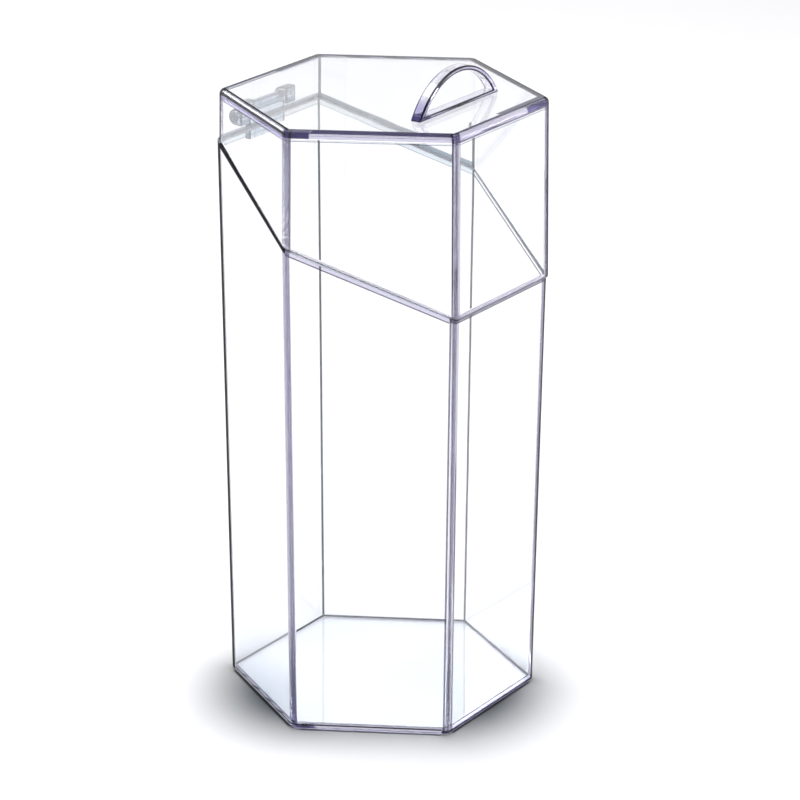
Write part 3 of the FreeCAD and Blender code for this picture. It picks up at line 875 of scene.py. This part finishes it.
def makeFloor():
    # Pale disc with a soft shadow painted round the foot, a thin painted contact shadow along its
    # straight sides and a painted patch of light under it, whiter than the rest of the floor.
    sides = studio["floorSides"]
    plan = directions(np.linspace(0, 2 * math.pi, sides, endpoint=False)) * studio["floorRadius"]
    points = np.column_stack([plan, np.full(sides, -studio["floorDrop"])])
    mesh = bpy.data.meshes.new("floor")
    mesh.from_pydata(points.tolist(), [], [list(range(sides))])
    floor = bpy.data.objects.new("floor", mesh)
    bpy.context.scene.collection.objects.link(floor)
    material = bpy.data.materials.new("paleFloor")
    material.use_nodes = True
    tree = material.node_tree
    shader = tree.nodes["Principled BSDF"]
    spread = tree.nodes.new("ShaderNodeMapping")
    spread.vector_type = "TEXTURE"
    spread.inputs["Location"].default_value = studio["shadowMiddle"]
    spread.inputs["Rotation"].default_value = (0, 0, math.radians(camera["azimuth"]))
    spread.inputs["Scale"].default_value = studio["shadowReach"]
    tree.links.new(objectPlace(tree), spread.inputs["Vector"])
    flat = tree.nodes.new("ShaderNodeSeparateXYZ")
    tree.links.new(spread.outputs["Vector"], flat.inputs[0])
    # distance from a straight line of a given half length: root of max(|x| - half, 0) ^ 2 + y ^ 2
    beyond = calc(tree, "SUBTRACT", calc(tree, "ABSOLUTE", flat.outputs["X"]), studio["shadowStraight"])
    sideways = calc(tree, "MAXIMUM", beyond, 0.0)
    depthways = calc(tree, "MULTIPLY", flat.outputs["Y"], flat.outputs["Y"])
    distance = calc(tree, "SQRT", calc(tree, "MULTIPLY_ADD", sideways, sideways, depthways))
    fade = smoothStep(tree, distance, studio["shadowFade"])
    tone = mixColours(tree, "MIX", fade, studio["shadowTone"], studio["floorTone"])
    footHalf = halfFlats - rimMid * math.tan(math.radians(shells["bodyDraft"]))
    places = useGroup(tree, shellPlaces, dict(Apothem=footHalf, Lean=0.0, Middle=0.0, Slope=0.0))
    # painted contact shadow: a thin dark band just outside the foot, away from the corners
    near = useGroup(tree, edgeLine, dict(Value=places["Depth"], **studio["contactShadeEdge"]))["Mask"]
    straight = useGroup(tree, edgeLine, dict(Value=places["Corner"], **studio["contactShadeSide"]))["Mask"]
    contactShade = calc(tree, "MULTIPLY", near, straight)
    tone = mixColours(tree, "MULTIPLY", contactShade, tone, studio["contactShadeTone"])
    # painted light: the floor under the foot is whiter than elsewhere
    underFootLight = useGroup(tree, edgeLine, dict(Value=places["Depth"], **studio["underLightEdge"]))["Mask"]
    tone = mixColours(tree, "MIX", underFootLight, tone, studio["underLightTone"])
    tree.links.new(tone, shader.inputs["Base Color"])
    shader.inputs["Roughness"].default_value = 1.0
    shader.inputs["Specular IOR Level"].default_value = 0.0
    mesh.materials.append(material)


def makeSky():
    # white from the horizon up, dark overhead, so that edges which look up turn dark
    world = bpy.data.worlds.new("studioSky")
    bpy.context.scene.world = world
    world.use_nodes = True
    nodes, links = world.node_tree.nodes, world.node_tree.links
    place = nodes.new("ShaderNodeTexCoord")
    split = nodes.new("ShaderNodeSeparateXYZ")
    ramp = nodes.new("ShaderNodeValToRGB")
    low, high = ramp.color_ramp.elements
    low.color = (*studio["skyHorizon"], 1)
    high.color = (*studio["skyZenith"], 1)
    low.position, high.position = studio["skyFade"]
    links.new(place.outputs["Generated"], split.inputs["Vector"])
    links.new(split.outputs["Z"], ramp.inputs["Fac"])
    links.new(ramp.outputs["Color"], nodes["Background"].inputs["Color"])


def makeLamp(name, place, size, power):
    data = bpy.data.lights.new(name, "AREA")
    data.shape = "RECTANGLE"
    data.size, data.size_y = size
    data.energy = power
    lamp = bpy.data.objects.new(name, data)
    lamp.location = place
    aim = Vector(studio["lampTarget"]) - Vector(place)
    lamp.rotation_euler = aim.to_track_quat("-Z", "Y").to_euler()
    bpy.context.scene.collection.objects.link(lamp)


makeFloor()
makeSky()
makeLamp("topSoftbox", studio["topPlace"], studio["topSize"], studio["topPower"])
makeLamp("glintStrip", studio["glintPlace"], studio["glintSize"], studio["glintPower"])
bpy.context.scene.view_settings.view_transform = "Standard"
cycles = bpy.context.scene.cycles
cycles.max_bounces = studio["clearBounces"]
cycles.transmission_bounces = studio["clearBounces"]
cycles.glossy_bounces = studio["glossyBounces"]
cycles.blur_glossy = 0.0
print("stage, lights and camera set")
